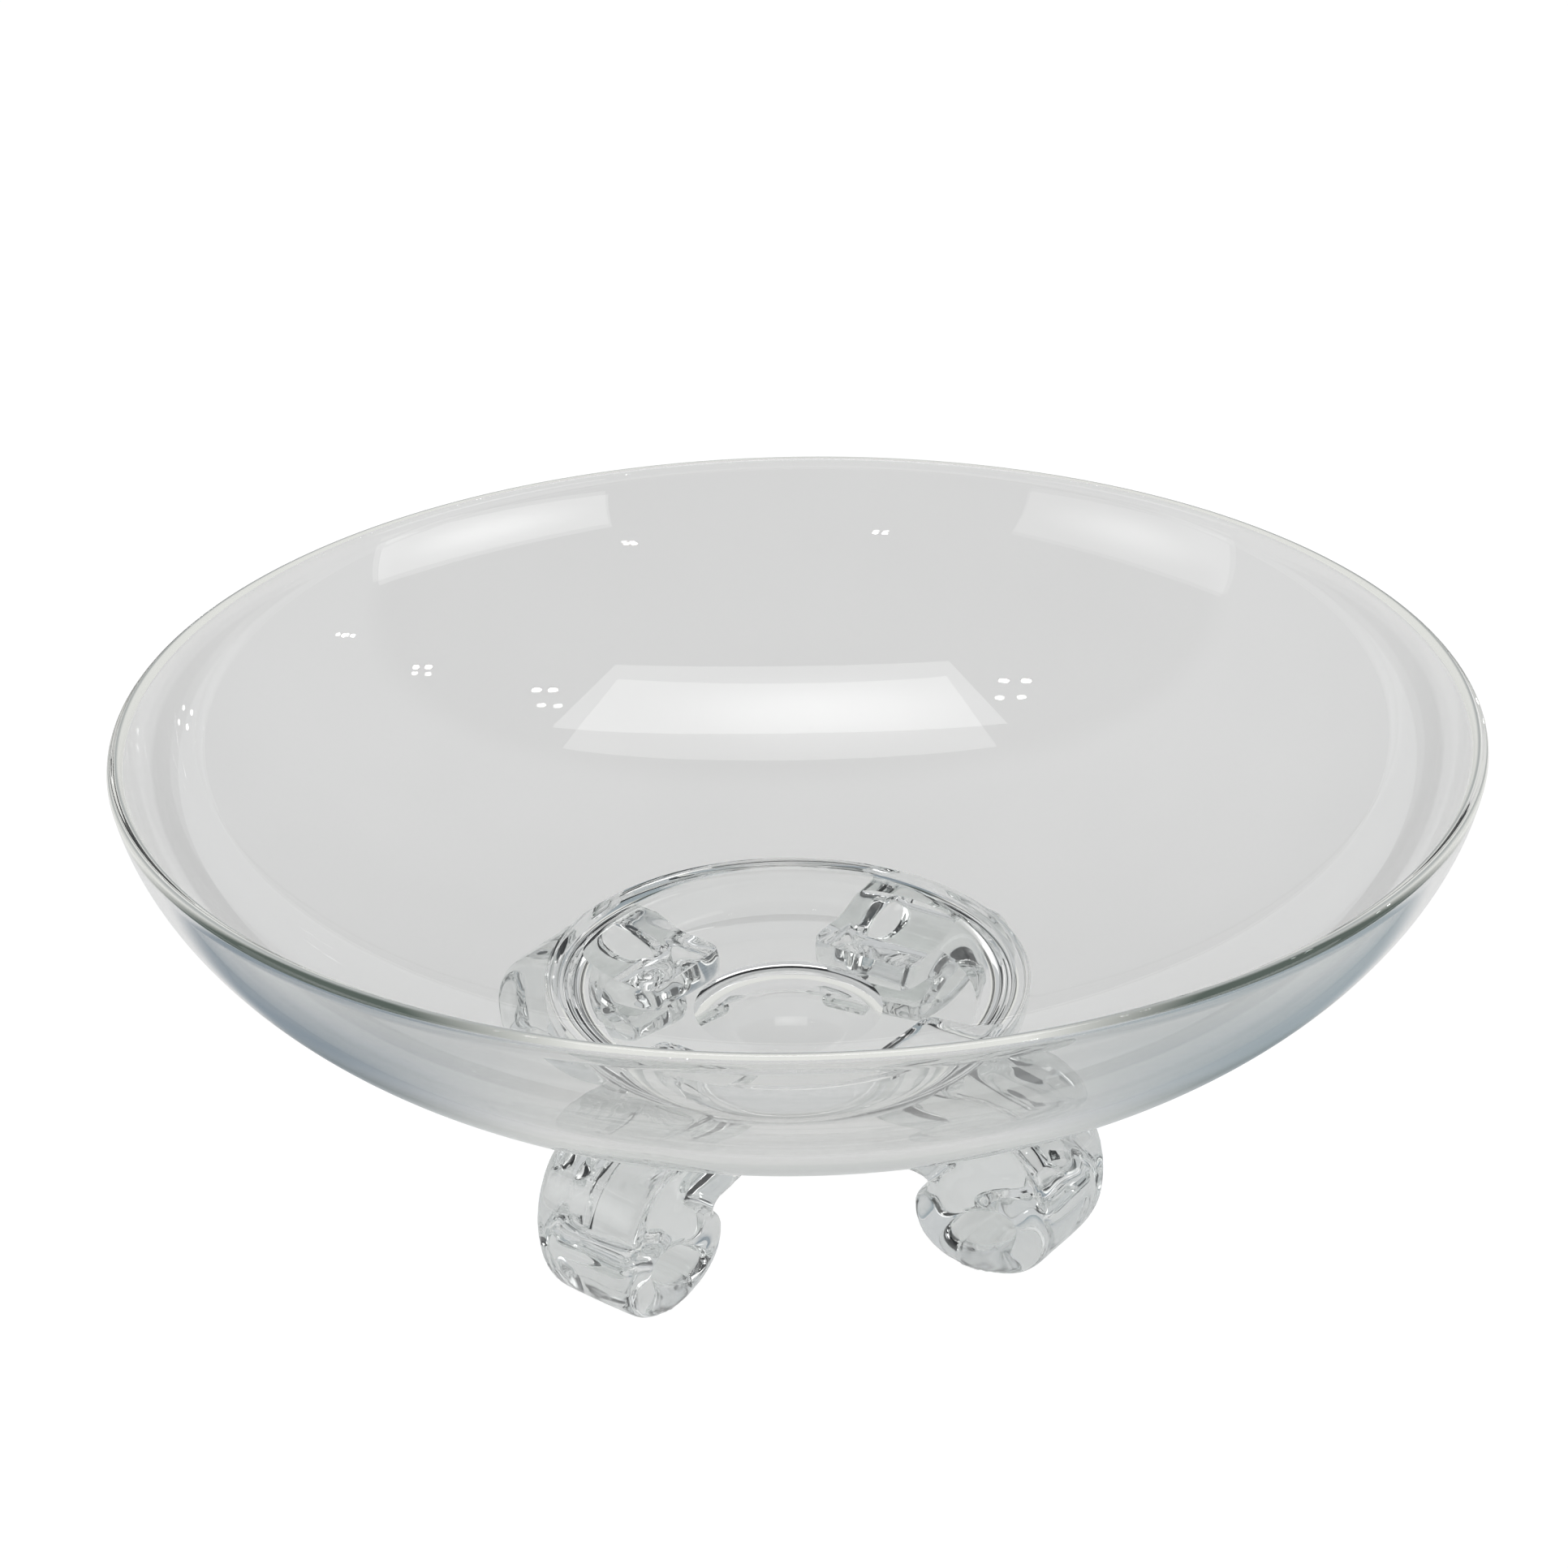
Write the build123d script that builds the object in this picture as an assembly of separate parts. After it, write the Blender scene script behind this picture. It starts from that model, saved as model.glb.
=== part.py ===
from build123d import *
from math import asin, cos, sin
import os

# Floating candle bowl of clear lead crystal, in millimetres, +Z up.
# The origin is on the surface that the bowl stands on, under the middle of the bowl.
# A blown shallow bowl stands on a thick round disc, and four rolled scroll feet are fused under the disc.
# Every piece is a separate gather of hot glass, so each one is its own solid, and they meet face to face.

# Blown bowl
rim_diameter = 305.0        # outside, across the widest part of the rim
bowl_depth = 78.0           # outside, from the top of the rim to the underside
rim_wall = 3.6              # glass at the fire-polished lip
floor_wall = 5.5            # glass at the middle of the floor

# Applied base disc
disc_diameter = 110.0       # where the disc meets the underside of the bowl
disc_thickness = 14.0       # at the middle
disc_bulge = 1.2            # how far the rounded side stands out past the joint
disc_lower_radius = 9.0     # rounding of the lower edge
recess_diameter = 46.0      # ground and polished recess in the underside
recess_depth = 6.0

base_offset = 3.2           # how far the disc, put on by hand, is off the bowl's axis
base_offset_turn = 170.5    # degrees, the direction of that

# Scroll feet
foot_count = 4
foot_height = 33.0          # from the ground to the underside of the disc
foot_width = 28.0           # along the roll
foot_edge_radius = 5.5      # soft fire-polished corners
foot_inner_reach = 30.0     # from the disc's axis to the inner lobe
foot_outer_reach = 80.0     # from the disc's axis to the outer shoulder
foot_lap = 8.5              # how far the shoulder laps up the side of the disc
foot_pad = 8.0              # flat that the foot stands on, across the roll
roll_wall = 8.5             # glass between the roll's open middle and its inner and outer sides
tunnel_height = 9.0         # short axis of that opening
tunnel_tilt = 28.0          # degrees, outer end up

# Outer outline of the bowl, from below the lip to the middle of the underside,
# as shares of the rim radius and of the bowl's depth.
bowl_outline_shares = [(0.965, 0.414), (0.748, 0.824), (0.397, 1.0)]
# How much of the wall's growth, from the lip to the floor, the inner outline has at each of those points,
# and which way the wall is measured there, sideways and upwards.
bowl_wall_growth_shares = [0.1, 0.5, 1.0]
bowl_wall_direction_shares = [(1.0, 0.1), (0.66, 0.8), (0.1, 1.0)]

# Side view of a foot, outwards from the inner lobe and up from the ground, as shares of its reach
# and of its shoulder height. It runs from the outer end of the pad, up the outside, over the shoulder,
# inside the disc, which is cut away later, round the lobe, into the crease and round the roll.
foot_outline_shares = [
    (0.83, 0.085), (0.955, 0.26), (1.0, 0.50), (0.96, 0.74), (0.84, 0.93), (0.67, 1.0),
    (0.40, 0.99), (0.13, 0.94), (0.015, 0.80), (0.005, 0.66), (0.08, 0.575), (0.20, 0.54),
    (0.31, 0.53), (0.385, 0.505), (0.31, 0.455), (0.262, 0.36), (0.262, 0.24), (0.30, 0.12), (0.385, 0.035),
]
roll_inner_share = 0.262    # how far out the roll's inner side is
pad_centre_share = 0.571    # how far out the middle of the pad is
tunnel_centre_share = 0.31  # how high the middle of the opening is

rim_radius = rim_diameter / 2
disc_radius = disc_diameter / 2
disc_underside_z = foot_height
bowl_underside_z = disc_underside_z + disc_thickness
overall_height = bowl_underside_z + bowl_depth
foot_reach = foot_outer_reach - foot_inner_reach
foot_shoulder_height = foot_height + foot_lap
disc_place = Rot(0, 0, base_offset_turn) * Pos(base_offset, 0, 0)
feet_place = Pos(disc_place.position)


def bowl_outer_points():
    """Control points of the outer outline, from the lip down to the axis."""
    points = [(rim_radius, overall_height - rim_wall / 2)]
    for across_share, down_share in bowl_outline_shares:
        points.append((rim_radius * across_share, overall_height - bowl_depth * down_share))
    points.append((0, bowl_underside_z))
    return points


def bowl_inner_points():
    """Control points of the inner outline, one wall away from the outer one."""
    outer = bowl_outer_points()
    points = [(rim_radius - rim_wall, overall_height - rim_wall / 2)]
    shares = zip(outer[1:-1], bowl_wall_growth_shares, bowl_wall_direction_shares)
    for (across, height), growth_share, (in_share, up_share) in shares:
        wall = rim_wall + (floor_wall - rim_wall) * growth_share
        points.append((across - wall * in_share, height + wall * up_share))
    points.append((0, bowl_underside_z + floor_wall))
    return points


def turned(profile):
    """Turn a face in the XZ plane once round the vertical axis."""
    return revolve(profile, Axis.Z, revolution_arc=360)


def on_side(points):
    """Points of the side view, as places in the XZ plane."""
    return [Vector(across, 0, height) for across, height in points]


def make_bowl():
    """Blown bowl with a rounded lip, open at the top."""
    outer = on_side(bowl_outer_points())
    inner = on_side(bowl_inner_points())
    lip_top = Vector(rim_radius - rim_wall / 2, 0, overall_height)
    outline = [
        Bezier(*outer),
        Line(outer[-1], inner[-1]),
        Bezier(*reversed(inner)),
        ThreePointArc(inner[0], lip_top, outer[0]),
    ]
    return turned(make_face(outline))


def make_bowl_block():
    """The bowl filled in, for cutting the pieces that are fused to its underside."""
    outer = on_side(bowl_outer_points())
    top_centre = Vector(0, 0, outer[0].Z)
    outline = [Bezier(*outer), Line(outer[-1], top_centre), Line(top_centre, outer[0])]
    return turned(make_face(outline))


def disc_outline(with_recess):
    """Half section of the disc, which runs up into the bowl where the two are fused."""
    top_z = bowl_underside_z + disc_thickness
    side_low = Vector(disc_radius, 0, disc_underside_z + disc_lower_radius)
    side_high = Vector(disc_radius - disc_bulge, 0, top_z)
    side_middle = Vector(disc_radius + disc_bulge, 0, (side_low.Z + bowl_underside_z) / 2)
    under_edge = Vector(disc_radius - disc_lower_radius, 0, disc_underside_z)
    top_centre = Vector(0, 0, top_z)
    side = ThreePointArc(side_low, side_middle, side_high)
    rounding = TangentArc(side_low, under_edge, tangent=-(side % 0))
    edges = [side, rounding, Line(side_high, top_centre)]
    if with_recess:
        recess_edge = Vector(recess_diameter / 2, 0, disc_underside_z)
        recess_middle = Vector(0, 0, disc_underside_z + recess_depth)
        dome_radius = ((recess_diameter / 2) ** 2 + recess_depth ** 2) / (2 * recess_depth)
        half_angle = asin(recess_diameter / 2 / dome_radius) / 2
        dome_centre_z = recess_middle.Z - dome_radius
        halfway = Vector(dome_radius * sin(half_angle), 0, dome_centre_z + dome_radius * cos(half_angle))
        dome = ThreePointArc(recess_edge, halfway, recess_middle)
        edges += [Line(under_edge, recess_edge), dome, Line(recess_middle, top_centre)]
    else:
        under_centre = Vector(0, 0, disc_underside_z)
        edges += [Line(under_edge, under_centre), Line(under_centre, top_centre)]
    return make_face(edges)


def make_foot():
    """One scroll foot before it is joined, standing out along +X, with the open roll running along Y."""
    pad_centre = foot_inner_reach + foot_reach * pad_centre_share
    pad_in = Vector(pad_centre - foot_pad / 2, 0, 0)
    pad_out = Vector(pad_centre + foot_pad / 2, 0, 0)
    outline = [pad_out]
    for across_share, up_share in foot_outline_shares:
        across = foot_inner_reach + foot_reach * across_share
        outline.append(Vector(across, 0, foot_shoulder_height * up_share))
    outline.append(pad_in)
    scroll = Spline(*outline, tangents=[Vector(1, 0, 0), Vector(1, 0, 0)])
    side_face = make_face([scroll, Line(pad_in, pad_out)])
    foot = extrude(side_face, foot_width / 2, dir=(0, 1, 0), both=True) & make_soft_block()
    roll_inner = foot_inner_reach + foot_reach * roll_inner_share
    tunnel_length = foot_outer_reach - roll_inner - 2 * roll_wall
    tunnel_middle = Vector((foot_outer_reach + roll_inner) / 2, 0, foot_shoulder_height * tunnel_centre_share)
    tunnel_plane = Plane(origin=tunnel_middle, x_dir=(1, 0, 0), z_dir=(0, -1, 0))
    opening = tunnel_plane * Rot(0, 0, tunnel_tilt) * Ellipse(tunnel_length / 2, tunnel_height / 2)
    return foot - extrude(opening, foot_width, both=True)


def make_soft_block():
    """Rounded block that takes the sharp corners off a foot."""
    middle = (foot_inner_reach + foot_outer_reach) / 2
    block = Pos(middle, 0, foot_shoulder_height / 2) * Box(foot_reach, foot_width, foot_shoulder_height)
    return fillet(block.edges(), foot_edge_radius)


bowl = make_bowl()
bowl_block = make_bowl_block()
disc_block = disc_place * turned(disc_outline(with_recess=False))
base_disc = disc_place * turned(disc_outline(with_recess=True)) - bowl_block
foot = make_foot()

foot_places = ["back_right", "back_left", "front_left", "front_right"]
pieces = {"bowl": bowl, "base_disc": base_disc}
for index in range(foot_count):
    turn = 360 / foot_count * (index + 0.5)
    placed_foot = feet_place * Rot(0, 0, turn) * foot
    pieces[f"foot_{foot_places[index % len(foot_places)]}"] = placed_foot - disc_block - bowl_block

os.makedirs("parts", exist_ok=True)
for name, piece in pieces.items():
    export_step(piece, f"parts/{name}.step")
    print(name, "volume", round(piece.volume), "solids", len(piece.solids()))
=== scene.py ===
# %% [markdown]
# A floating candle bowl of clear lead crystal, made hot in six gathers of glass that are fused together.
# A wide, shallow blown bowl stands on a thick round disc, and the disc stands on four rolled scroll feet.
# Clear glass has almost no colour of its own, so its shape is drawn by what it bends and mirrors.
# That makes smooth, closed surfaces and a plain pale studio the two things to get right.

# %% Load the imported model, which gives the frame and the real size
from math import atan2, cos, pi, radians, sin

import bpy
from mathutils import Matrix, Vector
from mathutils.bvhtree import BVHTree


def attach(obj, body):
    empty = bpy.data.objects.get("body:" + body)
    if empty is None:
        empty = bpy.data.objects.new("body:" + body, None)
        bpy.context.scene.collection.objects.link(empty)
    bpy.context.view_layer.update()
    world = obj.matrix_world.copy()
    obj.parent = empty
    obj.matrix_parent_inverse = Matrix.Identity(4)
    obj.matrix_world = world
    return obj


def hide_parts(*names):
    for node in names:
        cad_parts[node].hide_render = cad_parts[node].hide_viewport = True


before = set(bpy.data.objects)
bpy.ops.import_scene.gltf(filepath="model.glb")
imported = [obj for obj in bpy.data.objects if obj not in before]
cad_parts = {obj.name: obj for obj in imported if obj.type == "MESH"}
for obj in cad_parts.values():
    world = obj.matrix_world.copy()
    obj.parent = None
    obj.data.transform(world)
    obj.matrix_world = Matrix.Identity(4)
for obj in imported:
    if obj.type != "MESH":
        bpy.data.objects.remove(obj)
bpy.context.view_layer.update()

print("nodes:", sorted(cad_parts))

# %% [markdown]
# The construction model is in metres here, but a glassmaker thinks in millimetres.
# All sizes are kept in millimetres below and are turned into metres where a point is placed.

# %% Sizes in millimetres
MM = 0.001
rim_diameter = 305.0
bowl_depth = 78.0
rim_wall = 3.6
floor_wall = 5.5
disc_diameter = 110.0
disc_thickness = 14.0
disc_bulge = 1.2
disc_lower_radius = 9.0
recess_diameter = 46.0
recess_depth = 6.0
base_offset = 3.2
base_offset_turn = radians(170.5)
foot_height = 33.0
foot_width = 28.0
foot_inner_reach = 30.0
foot_outer_reach = 80.0
foot_lap = 8.5
foot_pad = 8.0
roll_wall = 8.5
tunnel_height = 9.0
tunnel_tilt = radians(28)

rim_radius = rim_diameter / 2
disc_radius = disc_diameter / 2
recess_radius = recess_diameter / 2
bowl_underside = foot_height + disc_thickness
overall_height = bowl_underside + bowl_depth
foot_reach = foot_outer_reach - foot_inner_reach
foot_shoulder = foot_height + foot_lap
base_middle = Vector((cos(base_offset_turn), sin(base_offset_turn), 0)) * base_offset
print("overall height", overall_height, "mm, rim", rim_diameter, "mm across")

# %% [markdown]
# The camera comes first, because everything is judged through it.
# It looks down at the bowl from about 25 degrees, from 0.74 m away, with a short telephoto lens.
# The lens and distance were worked out from how round the rim looks and how the front foot shows.

# %% Camera at the photograph's viewing angle
view_turn = Matrix.Rotation(radians(-9.5), 3, "Z")
rim_centre = Vector((0, 0, overall_height)) * MM
camera_turn = radians(-99.5)
camera_rise = radians(25.402)
camera_distance = 740 * MM
camera_roll = radians(-1.143)
sensor_width = 36
lens_length = 75.77
# In the camera's own directions, the view is aimed a little left of the axis and below the rim.
aim_offset = view_turn @ Vector((-3.048, 0, -20.696)) * MM

outward = Vector((cos(camera_rise) * cos(camera_turn), cos(camera_rise) * sin(camera_turn), sin(camera_rise)))
camera_place = rim_centre + outward * camera_distance
looking = (rim_centre + aim_offset - camera_place).normalized()
level_right = looking.cross(Vector((0, 0, 1))).normalized()
level_up = level_right.cross(looking)
right = level_right * cos(camera_roll) + level_up * sin(camera_roll)
up = level_up * cos(camera_roll) - level_right * sin(camera_roll)

camera_data = bpy.data.cameras.new("camera")
camera_data.sensor_width = sensor_width
camera_data.lens = lens_length
camera = bpy.data.objects.new("camera", camera_data)
bpy.context.scene.collection.objects.link(camera)
camera.matrix_world = Matrix.Translation(camera_place) @ Matrix((right, up, -looking)).transposed().to_4x4()
bpy.context.scene.camera = camera
print("camera at", [round(value, 3) for value in camera_place])

# %% [markdown]
# A turned shape is one outline spun round the vertical axis.
# The outline starts as a single point, which is pushed out step by step, as a pencil line is drawn.
# Three small helpers are enough: deselect everything, draw a line of points, and spin it.

# %% Helpers for drawing and turning an outline
seam_gap = 0.002 * MM


def deselect_all():
    """Leave edit mode and clear the selection, so an operator acts only on what comes next."""
    if bpy.context.object and bpy.context.object.mode != "OBJECT":
        bpy.ops.object.mode_set(mode="OBJECT")
    bpy.ops.object.select_all(action="DESELECT")


def select_only(piece):
    """Make one object the selected and active one."""
    deselect_all()
    piece.select_set(True)
    bpy.context.view_layer.objects.active = piece


def draw_outline(name, points, depth=0.0):
    """Draw a line of (across, height) points in millimetres in the XZ plane, and stay in edit mode."""
    deselect_all()
    bpy.ops.mesh.primitive_plane_add(size=0.01, location=(0, 0, 0))
    piece = bpy.context.object
    piece.name = piece.data.name = name
    bpy.ops.object.mode_set(mode="EDIT")
    bpy.ops.mesh.merge(type="CENTER")
    first = Vector((points[0][0], depth, points[0][1])) * MM
    bpy.ops.transform.translate(value=first)
    for before, after in zip(points, points[1:]):
        step = Vector((after[0] - before[0], 0, after[1] - before[1])) * MM
        bpy.ops.mesh.extrude_region_move(TRANSFORM_OT_translate={"value": step})
    return piece


def spin_outline(steps):
    """Turn the outline once round the Z axis, close the seam and the poles, and face it outwards."""
    bpy.ops.mesh.select_all(action="SELECT")
    bpy.ops.mesh.spin(steps=steps, angle=2 * pi, center=(0, 0, 0), axis=(0, 0, 1))
    bpy.ops.mesh.select_all(action="SELECT")
    bpy.ops.mesh.remove_doubles(threshold=seam_gap)
    bpy.ops.mesh.normals_make_consistent(inside=False)
    bpy.ops.object.mode_set(mode="OBJECT")


def say_size(piece):
    """Print how many faces a piece has, and how large it is."""
    low = [round(min(point.co[axis] for point in piece.data.vertices) / MM, 1) for axis in range(3)]
    high = [round(max(point.co[axis] for point in piece.data.vertices) / MM, 1) for axis in range(3)]
    print(piece.name, len(piece.data.polygons), "faces, from", low, "to", high, "mm")


# %% [markdown]
# The side of a blown bowl is one long curve with no straight part, because soft glass sags and swings out.
# A Bezier curve with a few control points gives exactly that. An arc through three points rounds the lip.

# %% Helpers for smooth curves
def bezier_point(controls, share):
    """The point at a share of the way along a Bezier curve with any number of control points."""
    points = [Vector(control) for control in controls]
    while len(points) > 1:
        points = [before.lerp(after, share) for before, after in zip(points, points[1:])]
    return points[0]


def bezier_line(controls, start, end, steps):
    """Evenly stepped points on a stretch of a Bezier curve."""
    return [bezier_point(controls, start + (end - start) * step / steps) for step in range(steps + 1)]


def circle_through(first, middle, last):
    """Centre and radius of the circle through three points."""
    side_a = middle - first
    side_b = last - first
    cross = 2 * (side_a.x * side_b.y - side_a.y * side_b.x)
    length_a = side_a.length_squared
    length_b = side_b.length_squared
    centre = first + Vector((side_b.y * length_a - side_a.y * length_b,
                             side_a.x * length_b - side_b.x * length_a)) / cross
    return centre, (first - centre).length


def arc_line(centre, start, end, steps):
    """Points on the shorter arc round a centre, from start to end."""
    from_angle = atan2(start.y - centre.y, start.x - centre.x)
    to_angle = atan2(end.y - centre.y, end.x - centre.x)
    sweep = (to_angle - from_angle + pi) % (2 * pi) - pi
    radius = (start - centre).length
    angles = [from_angle + sweep * step / steps for step in range(steps + 1)]
    return [centre + Vector((cos(angle), sin(angle))) * radius for angle in angles]


# %% [markdown]
# The bowl is blown and opened out, and its lip is melted round in the fire.
# Its wall has a real thickness, a little more at the floor than at the lip, and both sides are modelled,
# because light bends at each of them and the small gap between the two mirrored images shows.
# A scaled half ball with a Solidify modifier would be quicker, but its wall would be even all over.

# %% Outer and inner lines of the bowl
bowl_outer = [(rim_radius, overall_height - rim_wall / 2)]
bowl_inner = [(rim_radius - rim_wall, overall_height - rim_wall / 2)]
# Each row has shares of the rim's radius, of the depth and of the wall's growth from lip to floor,
# and which way the wall is measured there, inwards and upwards.
bowl_shape = [(0.965, 0.414, 0.1, 1.0, 0.1), (0.748, 0.824, 0.5, 0.66, 0.8), (0.397, 1.0, 1.0, 0.1, 1.0)]
for across_share, down_share, growth_share, in_share, up_share in bowl_shape:
    across = rim_radius * across_share
    height = overall_height - bowl_depth * down_share
    wall = rim_wall + (floor_wall - rim_wall) * growth_share
    bowl_outer.append((across, height))
    bowl_inner.append((across - wall * in_share, height + wall * up_share))
bowl_outer.append((0, bowl_underside))
bowl_inner.append((0, bowl_underside + floor_wall))
print("the bowl's outside falls from", bowl_outer[0], "to", bowl_outer[-1])

# %% Blown bowl
turn_steps = 300
inner_steps = 56
outer_steps = 60
lip_steps = 6
lip_centre = Vector((rim_radius - rim_wall / 2, overall_height - rim_wall / 2))
inner_rise = bezier_line(bowl_inner, 1.0, 0.0, inner_steps)
lip_top = lip_centre + Vector((0, rim_wall / 2))
lip = arc_line(lip_centre, inner_rise[-1], lip_top, lip_steps)
lip += arc_line(lip_centre, lip_top, Vector(bowl_outer[0]), lip_steps)[1:]
outer_fall = bezier_line(bowl_outer, 0.0, 1.0, outer_steps)
bowl = draw_outline("crystal_bowl", inner_rise + lip[1:] + outer_fall[1:])
spin_outline(turn_steps)
bpy.ops.object.shade_smooth()
say_size(bowl)

# %% [markdown]
# The disc is a second gather, dropped on the bowl's underside while it is soft.
# Its side swells out a little and its lower edge is round. The middle of its underside was ground hollow
# and polished to take away the mark of the iron, so the edge of that recess is still crisp. The hollow is
# deep enough to work as a lens: its far edge shows through the glass as a dark arc over a bright patch.
# It was put on by hand, so it sits a few millimetres off the bowl's axis, and the feet with it.
# Its top is drawn halfway up inside the bowl's floor, and the bowl cuts it to fit later on.

# %% Helper for an arc that leaves in a given direction
def leaving_arc(start, direction, end, steps):
    """Points on the arc that starts in a given direction and ends at a given point."""
    chord = end - start
    half_turn = atan2(direction.x * chord.y - direction.y * chord.x, direction.dot(chord))
    radius = chord.length / (2 * sin(half_turn))
    line = []
    for step in range(steps + 1):
        turn = half_turn * step / steps
        heading = Vector((direction.x * cos(turn) - direction.y * sin(turn),
                          direction.x * sin(turn) + direction.y * cos(turn)))
        line.append(start + heading * 2 * radius * sin(turn))
    return line


# %% Applied base disc
side_steps = 28
rounding_steps = 16
flat_steps = 6
dome_steps = 24
crisp_angle = radians(10)
side_low = Vector((disc_radius, foot_height + disc_lower_radius))
side_middle = Vector((disc_radius + disc_bulge, (side_low.y + bowl_underside) / 2))
side_high = Vector((disc_radius - disc_bulge, bowl_underside + disc_thickness))
side_centre, side_radius = circle_through(side_low, side_middle, side_high)
top_line = [point + Vector((0, floor_wall / 2)) for point in reversed(outer_fall) if point.x < side_high.x]
side_line = arc_line(side_centre, side_high, side_low, side_steps)
side_line = [point for point in side_line if point.y < top_line[-1].y]
from_centre = side_low - side_centre
down_the_side = Vector((from_centre.y, -from_centre.x)).normalized()
under_edge = Vector((disc_radius - disc_lower_radius, foot_height))
rounding = leaving_arc(side_low, down_the_side, under_edge, rounding_steps)
recess_edge = Vector((recess_radius, foot_height))
recess_middle = Vector((0, foot_height + recess_depth))
dome_centre, dome_radius = circle_through(recess_edge, recess_middle, Vector((-recess_radius, foot_height)))
dome = arc_line(dome_centre, recess_edge, recess_middle, dome_steps)
flat = [under_edge.lerp(recess_edge, step / flat_steps) for step in range(flat_steps + 1)]
disc_line = top_line + side_line + rounding[1:] + flat[1:] + dome[1:]
disc = draw_outline("crystal_disc", disc_line)
spin_outline(turn_steps)
bpy.ops.object.shade_smooth_by_angle(angle=crisp_angle)
print("the disc's side has a radius of", round(side_radius, 1), "mm, the recess", round(dome_radius, 1), "mm")


def move_off_axis(piece):
    """Move a piece from the bowl's axis to where the base was put on."""
    select_only(piece)
    bpy.ops.transform.translate(value=base_middle * MM)
    bpy.ops.object.transform_apply(location=True, rotation=False, scale=False)


move_off_axis(disc)
say_size(disc)

# %% [markdown]
# A foot is a strap of hot glass: its end is pressed on the disc, and the strap is rolled under itself
# round an open middle. A curve with a thick bevel could follow the roll, but the strap swells and thins
# on its way. From the side the foot is a scroll, so that side view is drawn first and given its width.
# The open middle is then cut through.

# %% Side view of a foot
# Outwards from the inner lobe and up from the ground, as shares of the reach and of the shoulder's height.
foot_shape = [
    (0.83, 0.085), (0.955, 0.26), (1.0, 0.50), (0.96, 0.74), (0.84, 0.93), (0.67, 1.0),
    (0.40, 0.99), (0.13, 0.94), (0.015, 0.80), (0.005, 0.66), (0.08, 0.575), (0.20, 0.54),
    (0.31, 0.53), (0.385, 0.505), (0.31, 0.455), (0.262, 0.36), (0.262, 0.24), (0.30, 0.12), (0.385, 0.035),
]
roll_inner_share = 0.262
pad_centre_share = 0.571
tunnel_centre_share = 0.31
bend_steps = 5
roll_inner = foot_inner_reach + foot_reach * roll_inner_share
pad_centre = foot_inner_reach + foot_reach * pad_centre_share
pad_out = Vector((pad_centre + foot_pad / 2, 0))
pad_in = Vector((pad_centre - foot_pad / 2, 0))


def line_through(points, steps):
    """A smooth closed line through given points, with each bend set by its two neighbours."""
    line = []
    for index, point in enumerate(points):
        before = points[index - 1]
        after = points[(index + 1) % len(points)]
        later = points[(index + 2) % len(points)]
        bend_out = (after - before) / 2
        bend_in = (later - point) / 2
        for step in range(steps):
            share = step / steps
            square = share ** 2
            cube = share ** 3
            line.append(point * (2 * cube - 3 * square + 1) + bend_out * (cube - 2 * square + share)
                        + after * (3 * square - 2 * cube) + bend_in * (cube - square))
    return line


foot_corners = [pad_out]
for across_share, up_share in foot_shape:
    foot_corners.append(Vector((foot_inner_reach + foot_reach * across_share, foot_shoulder * up_share)))
foot_corners.append(pad_in)
foot_line = line_through(foot_corners, bend_steps)
print("side view of a foot:", len(foot_line), "points")

# %% Strap of glass with that side view
foot = draw_outline("scroll_foot", foot_line, depth=-foot_width / 2)
bpy.ops.mesh.select_all(action="SELECT")
bpy.ops.mesh.edge_face_add()
bpy.ops.mesh.extrude_region_move(TRANSFORM_OT_translate={"value": (0, foot_width * MM, 0)})
bpy.ops.mesh.select_all(action="SELECT")
bpy.ops.mesh.normals_make_consistent(inside=False)
deselect_all()
say_size(foot)

# %% Open middle of the roll
tunnel_length = foot_outer_reach - roll_inner - 2 * roll_wall
tunnel_middle = Vector(((foot_outer_reach + roll_inner) / 2, 0, foot_shoulder * tunnel_centre_share)) * MM
bpy.ops.mesh.primitive_cylinder_add(vertices=64, radius=1, depth=2 * foot_width * MM, location=tunnel_middle)
tunnel = bpy.context.object
tunnel.scale = (tunnel_length / 2 * MM, tunnel_height / 2 * MM, 1)
tunnel.rotation_euler = (pi / 2, -tunnel_tilt, 0)


def apply_modifier(piece, kind, settings):
    """Give a piece a modifier with its settings, and apply it."""
    select_only(piece)
    modifier = piece.modifiers.new(kind.lower(), kind)
    for key, value in settings.items():
        setattr(modifier, key, value)
    bpy.ops.object.modifier_apply(modifier=modifier.name)


apply_modifier(foot, "BOOLEAN", {"operation": "DIFFERENCE", "solver": "EXACT", "object": tunnel})
bpy.data.objects.remove(tunnel, do_unlink=True)
say_size(foot)

# %% [markdown]
# The fire leaves no sharp edge on a foot. A bevel would round the edges evenly, as a machine does.
# A voxel remesh gives the foot an even skin instead, and smoothing that skin rounds the edges and the
# mouth of the opening as melting does. The soft glass also draws in towards the ground, so the roll is a
# little narrower there than where it is fused to the disc.

# %% Fire-polish the foot
skin_voxel = 0.8 * MM
melt_share = 0.5
melt_rounds = 70
apply_modifier(foot, "REMESH", {"mode": "VOXEL", "voxel_size": skin_voxel, "use_smooth_shade": True})
apply_modifier(foot, "SMOOTH", {"factor": melt_share, "iterations": melt_rounds})
# The foot keeps its width at the even height, in millimetres. Below it slims, and above it spreads.
even_height = 22.0
foot_slim = 0.2
foot_spread = 0.12
for point in foot.data.vertices:
    rise = point.co.z / MM / even_height - 1
    point.co.y *= 1 + (foot_slim if rise < 0 else foot_spread) * rise
say_size(foot)

# %% [markdown]
# Four feet are set a quarter turn apart. Each was pulled and rolled by hand, so no two are quite alike:
# a slow ripple that is fixed in space gives each copy its own small dents.

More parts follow.
